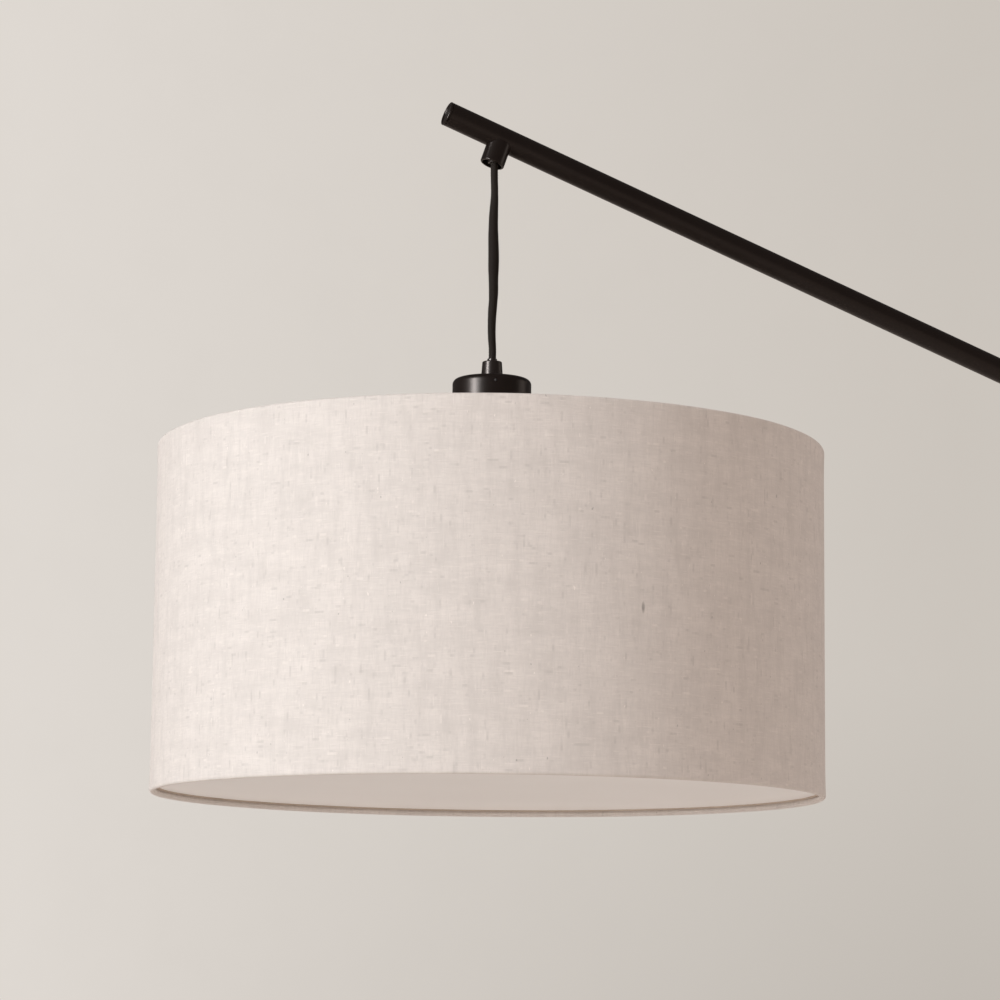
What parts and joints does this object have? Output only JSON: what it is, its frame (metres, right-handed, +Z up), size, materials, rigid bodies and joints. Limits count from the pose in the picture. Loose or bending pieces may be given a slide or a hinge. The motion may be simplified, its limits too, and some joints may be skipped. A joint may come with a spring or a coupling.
{
  "type": "boom floor lamp",
  "caption": "Floor lamp with a weighted round base, straight post, tilting counterweighted boom and a linen drum shade hung on a short textile cord.",
  "frame": {"origin": "centre of the base's underside, on the floor", "axes": "+Z up along the post; the boom lies over the X axis with the shade towards -X and the counterweight towards +X"},
  "size_m": [1.6043, 0.508, 1.9306],
  "materials": {
    "felt": "matt",
    "cast_iron": "rough",
    "black_coat": "satin",
    "black_plastic": "satin",
    "zinc_steel": "satin",
    "bright_steel": "polished",
    "black_screw": "satin",
    "lead_sheath": "satin",
    "bronze": "satin",
    "nylon": "satin",
    "brass": "satin",
    "black_braid": "woven",
    "opal_glass": "opal",
    "cap_aluminium": "satin",
    "white_coat": "gloss",
    "white_styrene": "matt",
    "oatmeal_linen": "woven",
    "taupe_vinyl": "matt",
    "opal_acrylic": "satin"
  },
  "bodies": {
    "stand": {"felt_pad": "felt", "base_weight": "cast_iron", "base_cover": "black_coat", "cord_gland": "black_plastic", "base_stud": "zinc_steel", "stud_nut": "zinc_steel", "stud_washer": "zinc_steel", "post_flange": "black_coat", "post_foot": "zinc_steel", "post_lower": "black_coat", "post_joint": "black_coat", "post_upper": "black_coat", "post_lead": "lead_sheath", "head_bush": "bronze"},
    "fork_head": {"swivel_spindle": "zinc_steel", "spindle_nut": "zinc_steel", "thrust_washer": "nylon", "fork": "black_coat", "tilt_pin": "zinc_steel", "friction_washers": "nylon", "knob_washer": "zinc_steel"},
    "knob": {"clamp_knob": "black_plastic", "knob_insert": "brass"},
    "boom": {"boom_saddle": "black_coat", "saddle_screws": "black_screw", "boom_front": "black_coat", "boom_joint": "black_coat", "boom_rear": "black_coat", "boom_lead": "lead_sheath", "boom_tip_cap": "black_coat", "boom_tail_cap": "black_coat", "tail_weight": "black_coat", "weight_screw": "zinc_steel", "ferrule": "black_coat", "ferrule_nipple": "zinc_steel", "nipple_nut": "zinc_steel"},
    "swing_ring": {"swing_ring": "black_plastic"},
    "cord": {"pendant_cord": "black_braid", "cord_stop": "zinc_steel"},
    "shade": {"cord_grip": "black_plastic", "socket_cup": "black_coat", "cup_screw": "bright_steel", "cup_nipple": "zinc_steel", "cup_nut": "zinc_steel", "socket_body": "black_plastic", "socket_shell": "brass", "socket_contact": "brass", "terminal_screws": "brass", "socket_ring": "black_plastic", "bulb_globe": "opal_glass", "bulb_cap": "cap_aluminium", "spider_hub": "white_coat", "spider_arms": "white_coat", "top_ring": "white_coat", "bottom_ring": "white_coat", "shade_liner": "white_styrene", "shade_fabric": "oatmeal_linen", "diffuser_edging": "taupe_vinyl", "diffuser": "opal_acrylic"}
  },
  "joints": [
    {"name": "post_swivel", "type": "hinge", "parent": "stand", "child": "fork_head", "pos_m": [0, 0, 1.5], "axis": [0, 0, 1], "range_deg": [-170, 170]},
    {"name": "boom_tilt", "type": "hinge", "parent": "fork_head", "child": "boom", "pos_m": [0, 0, 1.55], "axis": [0, 1, 0], "range_deg": [-20, 15]},
    {"name": "knob_turn", "type": "hinge", "parent": "fork_head", "child": "knob", "pos_m": [0, 0.02, 1.55], "axis": [0, 1, 0], "range_deg": [0, 270]},
    {"name": "pendant_swing_fore_aft", "type": "hinge", "parent": "boom", "child": "swing_ring", "pos_m": [-0.94043, 0, 1.88687], "axis": [0, 1, 0], "range_deg": [-18, 35]},
    {"name": "pendant_swing_sideways", "type": "hinge", "parent": "swing_ring", "child": "cord", "pos_m": [-0.94043, 0, 1.88687], "axis": [1, 0, 0], "range_deg": [-20, 20]},
    {"name": "shade_twist", "type": "hinge", "parent": "cord", "child": "shade", "pos_m": [-0.94043, 0, 1.72727], "axis": [0, 0, 1], "range_deg": [-170, 170]}
  ]
}
